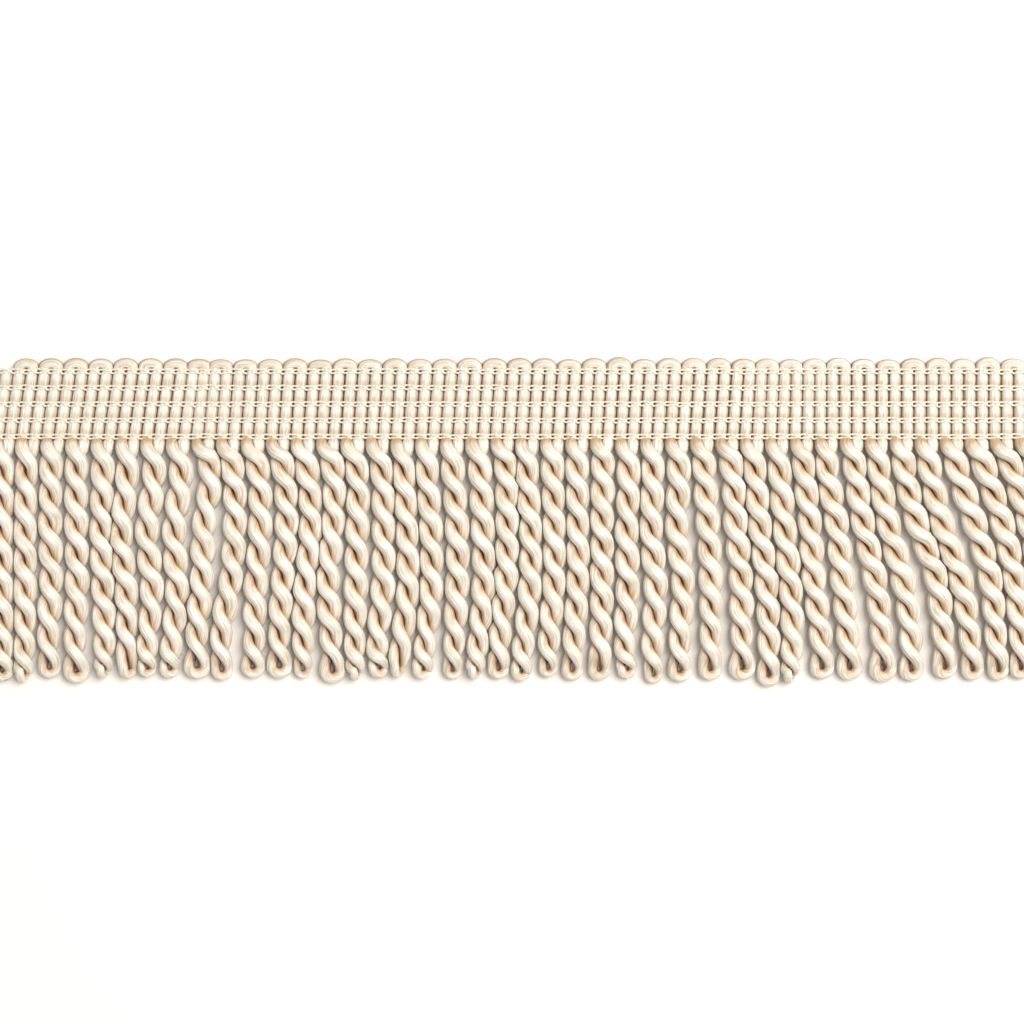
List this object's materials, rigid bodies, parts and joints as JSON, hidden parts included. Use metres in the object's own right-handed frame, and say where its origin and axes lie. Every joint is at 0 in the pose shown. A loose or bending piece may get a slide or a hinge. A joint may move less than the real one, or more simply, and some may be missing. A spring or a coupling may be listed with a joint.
{
  "type": "bullion fringe trim",
  "caption": "Cut length of bullion fringe: a row of twisted looped yarn cords hanging from a narrow ribbed heading tied with chain stitch.",
  "frame": {"origin": "middle of the heading's flat back, on the surface that the trim lies on", "axes": "+X along the trim, +Y from the cords towards the heading's scalloped edge, +Z out of the face"},
  "size_m": [0.2543, 0.0763, 0.005],
  "materials": {
    "heading_yarn": "ivory rayon yarn ribs tied down with white chain stitch",
    "cord_yarn": "ivory rayon yarn with a satin sheen, twisted in two plies"
  },
  "bodies": {
    "root": {"heading": "heading_yarn", "bullion_skirt": "cord_yarn"}
  },
  "joints": []
}
